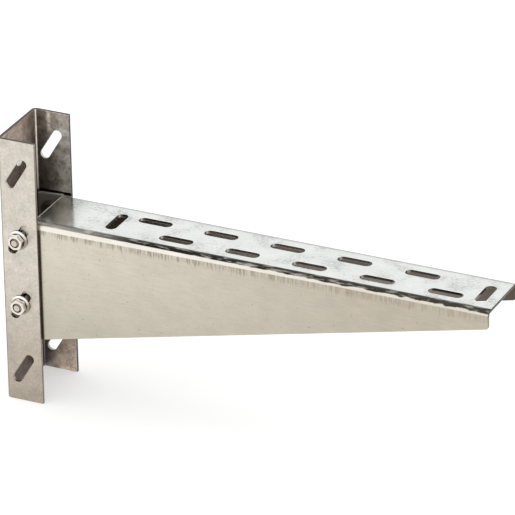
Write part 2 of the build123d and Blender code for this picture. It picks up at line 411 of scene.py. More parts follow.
# The oblique slots: one cutter through both flanges, repeated up the channel
ALONG_SLOT = (radians(90), radians(SIDE_SLOT_LEAN - 90), 0)
slot_end = put(tree, "ShaderNodeMath", {0: size["Slot Width"], 1: 0.5}, operation="MULTIPLY")
slot_at = put(tree, "ShaderNodeCombineXYZ", {"X": size["Slot Setback"], "Y": CUT_WIDE / 2 * MM})
slot_outline = outline_of(tree, size["Slot Length"], size["Slot Width"], slot_end)
slot = prism(tree, slot_outline, CUT_WIDE * MM, ALONG_SLOT, slot_at)
slot_first = put(tree, "ShaderNodeCombineXYZ", {"Z": size["First Slot"]})
slot_step = put(tree, "ShaderNodeCombineXYZ", {"Z": size["Slot Pitch"]})
slots = row_of(tree, slot, SIDE_SLOTS, slot_first, slot_step)
# The two wall holes through the web
hole = put(tree, "GeometryNodeMeshCylinder", {
    "Vertices": 48, "Radius": size["Wall Hole Radius"], "Depth": WEB_CUT * MM,
}, take="Mesh")
hole = put(tree, "GeometryNodeTransform", {"Geometry": hole, "Rotation": (0, radians(90), 0)})
hole_first = put(tree, "ShaderNodeCombineXYZ", {"Z": size["First Hole"]})
hole_step = put(tree, "ShaderNodeCombineXYZ", {"Z": size["Hole Pitch"]})
holes = row_of(tree, hole, 2, hole_first, hole_step)
folded = put(tree, "GeometryNodeMeshBoolean", {
    "Mesh 1": block, "Mesh 2": [hollow, excess],
}, operation="DIFFERENCE", solver="EXACT")
punched = put(tree, "GeometryNodeMeshBoolean", {
    "Mesh 1": folded, "Mesh 2": [slots, holes],
}, operation="DIFFERENCE", solver="EXACT")
end_tree(tree, punched, channel_zinc)

channel = folded_sheet(tree, "channel_sheet")
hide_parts("back_channel")
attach(channel, "root")


# Cantilever arm. One galvanised blank, 2.5 mm thick, folded to a U that stands open side down and
# tapers to the tip. Along the fold a dark line and a bright band are painted, as the bend's reflection
# and its highlight, and the press leaves short scratches down the sides below it.
ARM_SHEET = 2.5
ARM_HALF_WIDTH = 24.7
ARM_ROOT = 3.5
ARM_TIP = 363.5
ARM_TOP_START = 22.9
ARM_EAR_TOP = 37.6
ARM_ROOT_BOTTOM = -56.5
ARM_TIP_BOTTOM = 26.0
ARM_TIP_CORNER = 2.0
ARM_BEND = 1.5
TOP_SLOT_LENGTH = 25.0
TOP_SLOT_WIDTH = 8.0
TOP_SLOT_PITCH = 50.0
TOP_ROW_SPACING = 19.0
TOP_CUT = 20.0
CROSS_SLOT_FIRST = 76.5
CROSS_SLOT_LAST = 351.5
ARM_SLOT_CENTRES = {"Upper": (10.865, 19.884), "Lower": (11.910, -28.411)}
ARM_BEND_END = 35.0
ARM_FLAT_END = 20.7
ARM_TOP_LIT_ZINC = "#e9ebe8"
ARM_TOP_STAIN = "#a7a6a2"
ARM_ROOT_REFLECTION = "#4a4743"
ARM_LIP_HIGHLIGHT = "#dddbd6"
ARM_SIDE_UPPER = "#d1cabc"
ARM_SIDE_LOWER_SHADED = "#beb8a9"
ARM_SIDE_TIP = "#bbb3a3"
# Dross specks, and the painted shadow beside the channel's flange
ARM_DROSS_AND_SHADOW = "#4d453d"
ARM_SCRATCH = "#958b79"
ARM_COVERED_PAINTED_LIGHT = "#fbf7ef"
ARM_BEND_HIGHLIGHT = "#ece7dd"
ARM_BEND_HIGHLIGHT_TIP = "#d9d3c6"
ARM_BEND_HIGHLIGHT_REAR = "#c6c5c1"
ARM_BEND_DARK_REFLECTION = "#24201d"
ARM_BEND_DARK_REFLECTION_TIP = "#403d37"
ARM_INNER_SHADE = "#b3ada6"
ARM_INNER_SHADE_TIP = "#5d544b"
ARM_END_STEEL = "#3b352f"
ARM_FRONT_END_LIT_STEEL = "#8f8377"
ARM_MOTTLE = (0.94, 1.05)
ARM_GRAIN = (0.98, 1.02)
# What changes along the arm: the shares of the way to its tip where that begins and ends, and its
# values there
ALONG_THE_ARM = {
    "towards tip": (0.35, 0.9, 0.0, 1.0),
    "side dimmed": (0.12, 0.75, 0.0, 1.0),
    "foot of band": (0.1, 0.7, (ARM_BEND_END - 1.3) * MM, (ARM_BEND_END + 0.4) * MM),
    "bend line kept": (0.12, 0.28, 0.6, 1.0),
    "inside shade deepens": (0.5, 0.98, 0.0, 1.0),
}
# Marks on the arm and how far they fade, in millimetres, and how rough or glossy they are
ROOT_REFLECTION_END = 57.0
LIP_WIDTH = 1.1
SIDE_UPPER_UP = 15.6
FLANGE_SHADOW_FULL, FLANGE_SHADOW_FADED = 0.8, 1.9
FLANGE_OVERLAP = 2.5
SCRATCH_SHORTEST, SCRATCH_LONGEST, SCRATCH_FADE = 1.5, 9.0, 2.2
BAND_FADE = 0.7
FLAT_FADE = 0.5
LINE_INNER_FULL, LINE_INNER_FADED = 0.9, 1.7
LINE_LOWER_FULL, LINE_LOWER_FADED = 1.3, 1.8
LINE_RAGGED_DOWN, LINE_RAGGED_UP = 0.9, -0.6
RIDGE_FADE = 5.0
SKIN = 0.3
LIP_ROUGHNESS = 0.6
COVERED_ROUGHNESS = 0.75
TOP_GLOSS = -0.17

# The same galvanised steel, rolled smooth: painted nearly white where it lies flat, as light from above on
# it, and warmer on its sides
arm_zinc, tree = new_material("Galvanised steel sheet, arm")
place = put(tree, "ShaderNodeTexCoord", take="Object")
axis = put(tree, "ShaderNodeSeparateXYZ", {0: place}, take=None).outputs
across = put(tree, "ShaderNodeMath", {0: axis["Y"]}, operation="ABSOLUTE")
blotches = zinc_pattern(tree, place, 14, 4.0, 0.62)
specks = zinc_pattern(tree, place, 1.5, 2.0, 0.5)
bend_centre = ARM_HALF_WIDTH - (ARM_TOP - ARM_BEND_END)
centre = put(tree, "ShaderNodeCombineXYZ", {"Y": bend_centre * MM, "Z": ARM_BEND_END * MM})
folded = put(tree, "ShaderNodeCombineXYZ", {"Y": across, "Z": axis["Z"]})
from_centre = put(tree, "ShaderNodeVectorMath", {0: folded, 1: centre}, operation="DISTANCE", take=1)
region = {
    name: put(tree, "ShaderNodeMath", {0: distance, 1: limit * MM}, operation=f"{side}_THAN")
    for name, distance, side, limit in (
        ("lip", axis["X"], "LESS", ARM_TOP_START + LIP_WIDTH),
        ("covered by flange", axis["X"], "LESS", CHANNEL_DEPTH - FLANGE_OVERLAP),
        ("clear of flange", axis["X"], "GREATER", CHANNEL_DEPTH - FLANGE_OVERLAP),
        ("rear", axis["Y"], "GREATER", 0.0),
        ("within sides", across, "LESS", ARM_HALF_WIDTH - SKIN),
        ("under top", axis["Z"], "LESS", ARM_TOP - SKIN),
        ("out past centre", across, "GREATER", bend_centre),
        ("up past centre", axis["Z"], "GREATER", ARM_BEND_END),
        ("round centre", from_centre, "GREATER", ARM_TOP - ARM_BEND_END - SKIN),
        ("under bend", axis["Z"], "LESS", ARM_BEND_END),
        ("tip", axis["X"], "GREATER", ARM_TIP - END_SLACK),
    )
}
along = {
    name: put(tree, "ShaderNodeMapRange", {
        "Value": axis["X"], "From Min": begins * ARM_TIP * MM, "From Max": ends * ARM_TIP * MM,
        "To Min": at_root, "To Max": at_tip,
    })
    for name, (begins, ends, at_root, at_tip) in ALONG_THE_ARM.items()
}

# Stains a few millimetres across lie in clusters on the flat top. Near the root, between the
# channel's flanges, the top is painted darker as the reflection of the dark flanges, and the cut
# across it has a lip painted bright as its highlight
stains = zinc_pattern(tree, place, 1.5, 3.0, 0.65, (0.5, 1.0, 1.0))
clusters = zinc_pattern(tree, place, 17, 1.0, 0.5)
stained = all_of(tree, stains, clusters)
stained = put(tree, "ShaderNodeMapRange", {
    "Value": stained, "From Min": 0.25, "From Max": 0.4, "To Min": 0.0, "To Max": 0.6,
})
root_reflection = put(tree, "ShaderNodeMapRange", {
    "Value": axis["X"], "From Min": ARM_TOP_START * MM, "From Max": ROOT_REFLECTION_END * MM,
    "To Min": 0.56, "To Max": 0.0,
}, interpolation_type="SMOOTHSTEP")
flat_top = coated(
    tree, ARM_TOP_LIT_ZINC, (stained, ARM_TOP_STAIN), (root_reflection, ARM_ROOT_REFLECTION), (region["lip"], ARM_LIP_HIGHLIGHT),
)

# The sides are painted a little darker towards the tip, and towards the lower edge as shade.
# Rolling leaves faint lines along them, and here and there lies a dark speck of dross
down = put(tree, "ShaderNodeMapRange", {
    "Value": axis["Z"], "From Min": -ARM_TOP * MM, "From Max": SIDE_UPPER_UP * MM,
})
side_zinc = coated(tree, ARM_SIDE_LOWER_SHADED, (down, ARM_SIDE_UPPER), (along["side dimmed"], ARM_SIDE_TIP))
rolled = zinc_pattern(tree, place, 1.3, 2.0, 0.6, (0.08, 1.0, 1.0))
side_zinc = mottled(tree, side_zinc, (rolled, (0.95, 1.04)))
dross = zinc_pattern(tree, place, 1.5, 1.0, 0.5)
dross = put(tree, "ShaderNodeMapRange", {
    "Value": dross, "From Min": 0.7, "From Max": 0.77, "To Min": 0.0, "To Max": 0.35,
})
# Beside the channel's flange, which nearly touches it, the side is painted dark as the flange's
# shadow. Where the flange covers it, and it shows only through the slots, it is painted near white
# as painted light in the slots' recess
flange_shadow = put(tree, "ShaderNodeMapRange", {
    "Value": axis["X"], "From Min": (CHANNEL_DEPTH + FLANGE_SHADOW_FULL) * MM,
    "From Max": (CHANNEL_DEPTH + FLANGE_SHADOW_FADED) * MM, "To Min": 0.9, "To Max": 0.0,
}, interpolation_type="SMOOTHSTEP")
flange_shadow = all_of(tree, flange_shadow, region["clear of flange"])

# Scratches of the press: strokes side by side, that hang 2 to 7 mm down from the bend. The real
# ones are finer, and these are drawn as coarse as they need to show
strokes = zinc_pattern(tree, place, 1.1, 3.0, 0.7, (1.0, 0.02, 0.06))
strokes = put(tree, "ShaderNodeMapRange", {"Value": strokes, "From Min": 0.44, "From Max": 0.58})
lengths = zinc_pattern(tree, place, 1.6, 4.0, 0.8, (1.0, 0.0, 0.0))
lengths = put(tree, "ShaderNodeMapRange", {
    "Value": lengths, "From Min": 0.3, "From Max": 0.7,
    "To Min": SCRATCH_SHORTEST * MM, "To Max": SCRATCH_LONGEST * MM,
})
below_bend = put(tree, "ShaderNodeMath", {0: ARM_BEND_END * MM, 1: axis["Z"]}, operation="SUBTRACT")
reach = put(tree, "ShaderNodeMath", {0: lengths, 1: below_bend}, operation="SUBTRACT")
reach = put(tree, "ShaderNodeMapRange", {
    "Value": reach, "From Min": 0.0, "From Max": SCRATCH_FADE * MM, "To Min": 0.0, "To Max": 0.82,
})
fade = put(tree, "ShaderNodeMapRange", {"Value": along["towards tip"], "To Min": 1.0, "To Max": 0.65})
scratched = all_of(tree, strokes, reach, fade, region["clear of flange"])
side_zinc = coated(
    tree, side_zinc, (dross, ARM_DROSS_AND_SHADOW), (flange_shadow, ARM_DROSS_AND_SHADOW),
    (region["covered by flange"], ARM_COVERED_PAINTED_LIGHT), (scratched, ARM_SCRATCH),
)

# Round the bend, from the side up to the flat: a bright band painted as the bend's highlight,
# which narrows towards the tip, and then a dark line painted as the bend's reflection, which breaks
# up here and there. The line is fainter on the rear bend
over_foot = put(tree, "ShaderNodeMath", {0: axis["Z"], 1: along["foot of band"]}, operation="SUBTRACT")
band = put(tree, "ShaderNodeMapRange", {
    "Value": over_foot, "From Min": 0.0, "From Max": BAND_FADE * MM,
}, interpolation_type="SMOOTHSTEP")
bend_highlight = coated(
    tree, ARM_BEND_HIGHLIGHT, (along["towards tip"], ARM_BEND_HIGHLIGHT_TIP), (region["rear"], ARM_BEND_HIGHLIGHT_REAR),
)
is_flat = put(tree, "ShaderNodeMapRange", {
    "Value": across, "From Min": ARM_FLAT_END * MM, "From Max": (ARM_FLAT_END - FLAT_FADE) * MM,
})
breaks = zinc_pattern(tree, place, 2.4, 3.0, 0.5, (0.25, 1.0, 1.0))
darkness = put(tree, "ShaderNodeMapRange", {
    "Value": breaks, "From Min": 0.5, "From Max": 0.66, "To Min": 1.0, "To Max": 0.6,
})
past_flat = put(tree, "ShaderNodeMapRange", {
    "Value": across, "From Min": (ARM_FLAT_END - LINE_INNER_FADED) * MM,
    "From Max": (ARM_FLAT_END - LINE_INNER_FULL) * MM,
}, interpolation_type="SMOOTHSTEP")
ragged = put(tree, "ShaderNodeMapRange", {
    "Value": breaks, "From Min": 0.3, "From Max": 0.7,
    "To Min": LINE_RAGGED_DOWN * MM, "To Max": LINE_RAGGED_UP * MM,
})
ragged = all_of(tree, ragged, along["towards tip"])
ragged = put(tree, "ShaderNodeMath", {0: ragged, 1: axis["Z"]}, operation="ADD")
above_band = put(tree, "ShaderNodeMapRange", {
    "Value": ragged, "From Min": (ARM_TOP - LINE_LOWER_FADED) * MM,
    "From Max": (ARM_TOP - LINE_LOWER_FULL) * MM,
}, interpolation_type="SMOOTHSTEP")
on_front = put(tree, "ShaderNodeMapRange", {
    "Value": axis["Y"], "From Min": RIDGE_FADE * MM, "From Max": -RIDGE_FADE * MM,
    "To Min": 0.2, "To Max": 1.0,
})
line = all_of(tree, past_flat, above_band, darkness, along["bend line kept"], on_front)
dark_reflection = coated(tree, ARM_BEND_DARK_REFLECTION, (along["towards tip"], ARM_BEND_DARK_REFLECTION_TIP))
skin = coated(tree, side_zinc, (band, bend_highlight), (is_flat, flat_top), (line, dark_reflection))

# Inside the fold the zinc is painted darker as shade, most of all at the tip, whose end is sheared
# and painted lighter on its front side below the bend, as light falls there
on_bend = all_of(tree, region["out past centre"], region["up past centre"], region["round centre"])
off_bend = put(tree, "ShaderNodeMath", {0: 1.0, 1: on_bend}, operation="SUBTRACT")
is_inner = all_of(tree, region["within sides"], region["under top"], off_bend)
inner = coated(tree, ARM_INNER_SHADE, (along["inside shade deepens"], ARM_INNER_SHADE_TIP))
lit_front_end = put(tree, "ShaderNodeMath", {
    0: region["under bend"], 1: region["rear"],
}, operation="SUBTRACT", use_clamp=True)
end_steel = coated(tree, ARM_END_STEEL, (lit_front_end, ARM_FRONT_END_LIT_STEEL))
zinc = coated(tree, skin, (is_inner, inner), (region["tip"], end_steel))
zinc = mottled(tree, zinc, (blotches, ARM_MOTTLE), (specks, ARM_GRAIN))
# The flat top is glossier than the sides, and the lip and what the flange covers are matt
sheen = put(tree, "ShaderNodeMapRange", {
    "Value": blotches, "From Min": 0.3, "From Max": 0.7, "To Min": 0.3, "To Max": 0.4,
})
glossier = put(tree, "ShaderNodeMath", {0: is_flat, 1: TOP_GLOSS}, operation="MULTIPLY")
sheen = put(tree, "ShaderNodeMath", {0: sheen, 1: glossier}, operation="ADD")
covered_side = region["covered by flange"]
for uncovered in (is_flat, is_inner):
    covered_side = put(tree, "ShaderNodeMath", {
        0: covered_side, 1: uncovered,
    }, operation="SUBTRACT", use_clamp=True)
for mask, matt in ((region["lip"], LIP_ROUGHNESS), (covered_side, COVERED_ROUGHNESS)):
    sheen = put(tree, "ShaderNodeMix", {"Factor": mask, 2: sheen, 3: matt})
relief = put(tree, "ShaderNodeBump", {"Height": specks, "Distance": 0.02 * MM, "Strength": 0.3})
bare_metal(tree, zinc, sheen, Normal=relief)

tree, size = new_tree("Tapered slotted arm", {
    "Root": ARM_ROOT, "Tip": ARM_TIP, "Top": ARM_TOP, "Top Start": ARM_TOP_START, "Ear Top": ARM_EAR_TOP,
    "Root Bottom": ARM_ROOT_BOTTOM, "Tip Bottom": ARM_TIP_BOTTOM, "Tip Corner": ARM_TIP_CORNER,
    "Sheet": ARM_SHEET, "Outer Half Width": ARM_HALF_WIDTH,
    "Outer Bend": ARM_BEND + ARM_SHEET, "Inner Bend": ARM_BEND,
    "Slot Length": TOP_SLOT_LENGTH, "Slot Width": TOP_SLOT_WIDTH, "Slot Pitch": TOP_SLOT_PITCH,
    "Row Spacing": TOP_ROW_SPACING, "First Cross Slot": CROSS_SLOT_FIRST,
    "Last Cross Slot": CROSS_SLOT_LAST,
    "Side Slot Length": SIDE_SLOT_LENGTH, "Side Slot Width": SIDE_SLOT_WIDTH,
    "Upper Slot Out": ARM_SLOT_CENTRES["Upper"][0], "Upper Slot Up": ARM_SLOT_CENTRES["Upper"][1],
    "Lower Slot Out": ARM_SLOT_CENTRES["Lower"][0], "Lower Slot Up": ARM_SLOT_CENTRES["Lower"][1],
})
ALONG_ARM = (radians(90), 0, radians(90))
ACROSS_ARM = (radians(90), 0, 0)


def four_sided(tree, *corners):
    """An outline through four corners, each given along the arm and up."""
    points = {
        f"Point {number}": put(tree, "ShaderNodeCombineXYZ", {"X": out, "Y": up})
        for number, (out, up) in enumerate(corners, 1)
    }
    return put(tree, "GeometryNodeCurvePrimitiveQuadrilateral", points, mode="POINTS")


# The inverted U, run from where the top starts to well past the tip, and far too deep
inner_half = put(tree, "ShaderNodeMath", {
    0: size["Outer Half Width"], 1: size["Sheet"],
}, operation="SUBTRACT")
outer_width = put(tree, "ShaderNodeMath", {0: size["Outer Half Width"], 1: 2.0}, operation="MULTIPLY")
inner_width = put(tree, "ShaderNodeMath", {0: inner_half, 1: 2.0}, operation="MULTIPLY")
middle_up = put(tree, "ShaderNodeMath", {0: size["Top"], 1: CUT_WIDE / 2 * MM}, operation="SUBTRACT")
hollow_up = put(tree, "ShaderNodeMath", {0: middle_up, 1: size["Sheet"]}, operation="SUBTRACT")
hollow_start = put(tree, "ShaderNodeMath", {0: size["Top Start"], 1: size["Sheet"]}, operation="SUBTRACT")
block_at = put(tree, "ShaderNodeCombineXYZ", {"X": size["Top Start"], "Z": middle_up})
outer = outline_of(tree, outer_width, CUT_WIDE * MM, size["Outer Bend"])
block = prism(tree, outer, size["Tip"], ALONG_ARM, block_at)
hollow_at = put(tree, "ShaderNodeCombineXYZ", {"X": hollow_start, "Z": hollow_up})
inner = outline_of(tree, inner_width, CUT_WIDE * MM, size["Inner Bend"])
hollow = prism(tree, inner, size["Tip"], ALONG_ARM, hollow_at)
run = put(tree, "GeometryNodeMeshBoolean", {
    "Mesh 1": block, "Mesh 2": hollow,
}, operation="DIFFERENCE", solver="EXACT")
# The ears that run on towards the web past the cut back top, one on either side
ear_outline = four_sided(
    tree, (size["Root"], -CUT_WIDE / 2 * MM), (size["Top Start"], -CUT_WIDE / 2 * MM),
    (size["Top Start"], size["Top"]), (size["Root"], size["Ear Top"]),
)
front_at = put(tree, "ShaderNodeMath", {0: inner_half, 1: -1.0}, operation="MULTIPLY")
front_at = put(tree, "ShaderNodeCombineXYZ", {"Y": front_at})
rear_at = put(tree, "ShaderNodeCombineXYZ", {"Y": size["Outer Half Width"]})
ears = [prism(tree, ear_outline, size["Sheet"], ACROSS_ARM, ear_at) for ear_at in (front_at, rear_at)]
joined = put(tree, "GeometryNodeMeshBoolean", {"Mesh 2": [run, *ears]}, operation="UNION", solver="EXACT")
# The side view that the shears leave: square at the root, tapered below, with one round corner at the tip
above = put(tree, "ShaderNodeMath", {0: size["Top"], 1: size["Sheet"]}, operation="ADD")
view = four_sided(
    tree, (size["Root"], size["Root Bottom"]), (size["Tip"], size["Tip Bottom"]),
    (size["Tip"], above), (size["Root"], above),
)
index = put(tree, "GeometryNodeInputIndex")
is_tip = put(tree, "FunctionNodeCompare", {2: index, 3: 1}, data_type="INT", operation="EQUAL")
tip_radius = put(tree, "ShaderNodeMath", {0: is_tip, 1: size["Tip Corner"]}, operation="MULTIPLY")
view = put(tree, "GeometryNodeFilletCurve", mode="POLY", inputs={
    "Curve": view, "Count": 6, "Radius": tip_radius, "Limit Radius": True,
})
view_at = put(tree, "ShaderNodeCombineXYZ", {"Y": outer_width})
kept = prism(tree, view, size["Tip"], ACROSS_ARM, view_at)
sheared = put(tree, "GeometryNodeMeshBoolean", {
    "Mesh 2": [joined, kept],
}, operation="INTERSECT", solver="EXACT")
# The top slots: as many to a row as the cross slots leave room for, the rows half a pitch apart
slot_end, half_pitch, row_side, side_end = (
    put(tree, "ShaderNodeMath", {0: size[whole], 1: 0.5}, operation="MULTIPLY")
    for whole in ("Slot Width", "Slot Pitch", "Row Spacing", "Side Slot Width")
)
slot_outline = outline_of(tree, size["Slot Length"], size["Slot Width"], slot_end)
slot_low = put(tree, "ShaderNodeMath", {0: size["Top"], 1: TOP_CUT / 2 * MM}, operation="SUBTRACT")
slot_at = put(tree, "ShaderNodeCombineXYZ", {"Z": slot_low})
between = put(tree, "ShaderNodeMath", {
    0: size["Last Cross Slot"], 1: size["First Cross Slot"],
}, operation="SUBTRACT")
per_row = put(tree, "ShaderNodeMath", {0: between, 1: size["Slot Pitch"]}, operation="DIVIDE")
per_row = put(tree, "ShaderNodeMath", {0: per_row}, operation="FLOOR")
row_step = put(tree, "ShaderNodeCombineXYZ", {"X": size["Slot Pitch"]})
long_slot = prism(tree, slot_outline, TOP_CUT * MM, (0, 0, 0), slot_at)
cross_slot = prism(tree, slot_outline, TOP_CUT * MM, (0, 0, radians(90)), slot_at)
cutters = []
for first_gap, side in ((half_pitch, 1.0), (size["Slot Pitch"], -1.0)):
    row_x = put(tree, "ShaderNodeMath", {0: size["First Cross Slot"], 1: first_gap}, operation="ADD")
    row_y = put(tree, "ShaderNodeMath", {0: row_side, 1: side}, operation="MULTIPLY")
    row_at = put(tree, "ShaderNodeCombineXYZ", {"X": row_x, "Y": row_y})
    cutters.append(row_of(tree, long_slot, per_row, row_at, row_step))
cross_at = put(tree, "ShaderNodeCombineXYZ", {"X": size["First Cross Slot"]})
cross_step = put(tree, "ShaderNodeCombineXYZ", {"X": between})
cutters.append(row_of(tree, cross_slot, 2, cross_at, cross_step))
# The oblique slots for the bolts, through both sides at once
side_outline = outline_of(tree, size["Side Slot Length"], size["Side Slot Width"], side_end)
for level in ARM_SLOT_CENTRES:
    side_at = put(tree, "ShaderNodeCombineXYZ", {
        "X": size[f"{level} Slot Out"], "Y": CUT_WIDE / 2 * MM, "Z": size[f"{level} Slot Up"],
    })
    cutters.append(prism(tree, side_outline, CUT_WIDE * MM, ALONG_SLOT, side_at))
punched = put(tree, "GeometryNodeMeshBoolean", {
    "Mesh 1": sheared, "Mesh 2": cutters,
}, operation="DIFFERENCE", solver="EXACT")
end_tree(tree, punched, arm_zinc)

arm = folded_sheet(tree, "arm_sheet")
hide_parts("cantilever_arm")
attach(arm, "root")


# Bolts. Four M6 mushroom head bolts with a square neck, cold headed with a rolled thread, then zinc
# plated. The head bears on the arm's inner face, the neck keeps it from turning in the slots, and
# the end stands just clear of the nut.
BOLT_THREAD = 6.0
BOLT_PITCH = 1.0
BOLT_THREAD_DEPTH = 0.55
BOLT_LENGTH = 12.0
BOLT_END_CHAMFER = 0.8
BOLT_HEAD = 16.0
BOLT_HEAD_HEIGHT = 3.6
BOLT_HEAD_RIM = 0.8
BOLT_NECK = 6.4
BOLT_NECK_DEPTH = 3.6
BOLT_ZINC = "#c9bfb1"
# Painted shade in the thread's grooves and on the head
BOLT_THREAD_SHADE = "#4a4139"
BOLT_HEAD_SHADE = "#75716c"
BOLT_HEIGHTS = {"upper": 25.0, "lower": -25.0}
ARM_INNER = 22.2
FASTENER_SLACK = 0.05


def raised(tree, solid, height):
    """A part of a fastener, carried up by so much."""
    lift = put(tree, "ShaderNodeCombineXYZ", {"Z": height})
    return put(tree, "GeometryNodeTransform", {"Geometry": solid, "Translation": lift})


def marked(tree, geometry):
    """A fastener that keeps each point's place about its own axis, for its finish to read."""
    at = put(tree, "GeometryNodeInputPosition")
    return put(tree, "GeometryNodeStoreNamedAttribute", data_type="FLOAT_VECTOR", domain="POINT", inputs={
        "Geometry": geometry, "Name": "own_place", "Value": at,
    })


def own_place(tree):
    """In a fastener's finish: how far a point lies from the axis, and how far above the seat."""
    at = put(tree, "ShaderNodeAttribute", attribute_name="own_place", take="Vector")
    parts = put(tree, "ShaderNodeSeparateXYZ", {0: at}, take=None).outputs
    flat = put(tree, "ShaderNodeCombineXYZ", {"X": parts["X"], "Y": parts["Y"]})
    return put(tree, "ShaderNodeVectorMath", {0: flat}, operation="LENGTH", take=1), parts["Z"]


def stood_at(shape, name, place):
    """A copy of a fastener's mesh, moved to its place in the bracket."""
    piece = bpy.data.objects.new(name, shape.copy())
    bpy.context.scene.collection.objects.link(piece)
    piece.data.transform(place)
    piece.data.name = name
    piece.data.shade_smooth()
    piece.data.set_sharp_from_angle(angle=radians(30))
    return piece


def seat_matrix(side, distance, height, turn):
    """Stands a fastener's own Z outwards on that side of the bracket, turned about it in degrees."""
    upright = Matrix.Rotation(-side * pi / 2, 4, "X")
    turned = Matrix.Rotation(radians(turn), 4, "Z")
    return Matrix.Translation(Vector((SIDE_SLOT_SETBACK, side * distance, height)) * MM) @ upright @ turned


# Zinc plate on headed and rolled steel: smoother than the sheet and bright on the threaded end,
# with painted shade dark in the thread's grooves and on the head
plated_bolt, tree = new_material("Zinc plated steel, bolt")
radius, rise = own_place(tree)
in_thread = put(tree, "ShaderNodeMapRange", {
    "Value": radius, "From Min": (BOLT_THREAD / 2 - BOLT_THREAD_DEPTH) * MM,
    "From Max": BOLT_THREAD / 2 * MM,
})
end_face = put(tree, "ShaderNodeMath", {
    0: rise, 1: (BOLT_LENGTH - FASTENER_SLACK) * MM,
}, operation="GREATER_THAN")
lit = put(tree, "ShaderNodeMath", {0: in_thread, 1: end_face}, operation="MAXIMUM")
on_head = put(tree, "ShaderNodeMath", {0: rise, 1: 0.0}, operation="LESS_THAN")
zinc = coated(tree, BOLT_THREAD_SHADE, (lit, BOLT_ZINC), (on_head, BOLT_HEAD_SHADE))
bare_metal(tree, zinc, 0.28)

tree, size = new_tree("Mushroom head bolt", {
    "Thread Diameter": BOLT_THREAD, "Thread Pitch": BOLT_PITCH, "Thread Depth": BOLT_THREAD_DEPTH,
    "Length": BOLT_LENGTH, "End Chamfer": BOLT_END_CHAMFER, "Head Diameter": BOLT_HEAD,
    "Head Height": BOLT_HEAD_HEIGHT, "Head Rim": BOLT_HEAD_RIM, "Neck Width": BOLT_NECK,
    "Neck Depth": BOLT_NECK_DEPTH,
})
half, middle, head_half = (
    put(tree, "ShaderNodeMath", {0: size[whole], 1: 0.5}, operation="MULTIPLY")
    for whole in ("Thread Diameter", "Length", "Head Diameter")
)
# The threaded shank: a cylinder whose wall waves in and out once a pitch, and climbs a pitch each turn
rod = put(tree, "GeometryNodeMeshCylinder", {
    "Vertices": 48, "Side Segments": 72, "Radius": half, "Depth": size["Length"],
}, take="Mesh")
rod = raised(tree, rod, middle)
at = put(tree, "GeometryNodeInputPosition")
part = put(tree, "ShaderNodeSeparateXYZ", {0: at}, take=None).outputs
turn = put(tree, "ShaderNodeMath", {0: part["Y"], 1: part["X"]}, operation="ARCTAN2")
turns = put(tree, "ShaderNodeMath", {0: turn, 1: 2 * pi}, operation="DIVIDE")
pitches = put(tree, "ShaderNodeMath", {0: part["Z"], 1: size["Thread Pitch"]}, operation="DIVIDE")
phase = put(tree, "ShaderNodeMath", {0: pitches, 1: turns}, operation="SUBTRACT")
wave = put(tree, "ShaderNodeMath", {0: phase, 1: 0.5}, operation="PINGPONG")
groove = put(tree, "ShaderNodeMath", {0: wave, 1: size["Thread Depth"]}, operation="MULTIPLY")
groove = put(tree, "ShaderNodeMath", {0: groove, 1: 2.0}, operation="MULTIPLY")
wall = put(tree, "ShaderNodeMath", {0: half, 1: groove}, operation="SUBTRACT")
left = put(tree, "ShaderNodeMath", {0: size["Length"], 1: part["Z"]}, operation="SUBTRACT")
point = put(tree, "ShaderNodeMath", {0: half, 1: size["End Chamfer"]}, operation="SUBTRACT")
cone = put(tree, "ShaderNodeMath", {0: point, 1: left}, operation="ADD")
wall = put(tree, "ShaderNodeMath", {0: wall, 1: cone}, operation="MINIMUM")
share = put(tree, "ShaderNodeMath", {0: wall, 1: half}, operation="DIVIDE")
squeeze = put(tree, "ShaderNodeCombineXYZ", {"X": share, "Y": share, "Z": 1.0})
moved = put(tree, "ShaderNodeVectorMath", {0: at, 1: squeeze}, operation="MULTIPLY")
rod = put(tree, "GeometryNodeSetPosition", {"Geometry": rod, "Position": moved})
# The square neck, which starts a little inside the head
neck_size = put(tree, "ShaderNodeCombineXYZ", {
    "X": size["Neck Width"], "Y": size["Neck Width"], "Z": size["Neck Depth"],
})
neck = put(tree, "GeometryNodeMeshCube", {"Size": neck_size}, take="Mesh")
neck_middle = put(tree, "ShaderNodeMath", {0: size["Neck Depth"], 1: 0.45}, operation="MULTIPLY")
neck = raised(tree, neck, neck_middle)
# The head: a ball's cap cut off by the head's own round
crown = put(tree, "ShaderNodeMath", {0: size["Head Height"], 1: size["Head Rim"]}, operation="SUBTRACT")
spread = put(tree, "ShaderNodeMath", {0: head_half, 1: head_half}, operation="MULTIPLY")
spread = put(tree, "ShaderNodeMath", {0: spread, 1: crown}, operation="DIVIDE")
ball = put(tree, "ShaderNodeMath", {0: spread, 1: crown}, operation="ADD")
ball = put(tree, "ShaderNodeMath", {0: ball, 1: 0.5}, operation="MULTIPLY")
dome = put(tree, "GeometryNodeMeshUVSphere", {"Segments": 64, "Rings": 64, "Radius": ball}, take="Mesh")
dome_up = put(tree, "ShaderNodeMath", {0: ball, 1: size["Head Height"]}, operation="SUBTRACT")
dome = raised(tree, dome, dome_up)
disc = put(tree, "GeometryNodeMeshCylinder", {
    "Vertices": 96, "Radius": head_half, "Depth": size["Head Height"],
}, take="Mesh")
disc_down = put(tree, "ShaderNodeMath", {0: size["Head Height"], 1: -0.5}, operation="MULTIPLY")
disc = raised(tree, disc, disc_down)
head = put(tree, "GeometryNodeMeshBoolean", {"Mesh 2": [dome, disc]}, operation="INTERSECT", solver="EXACT")
bolt = put(tree, "GeometryNodeMeshBoolean", {
    "Mesh 2": [rod, neck, head],
}, operation="UNION", solver="EXACT")
end_tree(tree, marked(tree, bolt), plated_bolt)

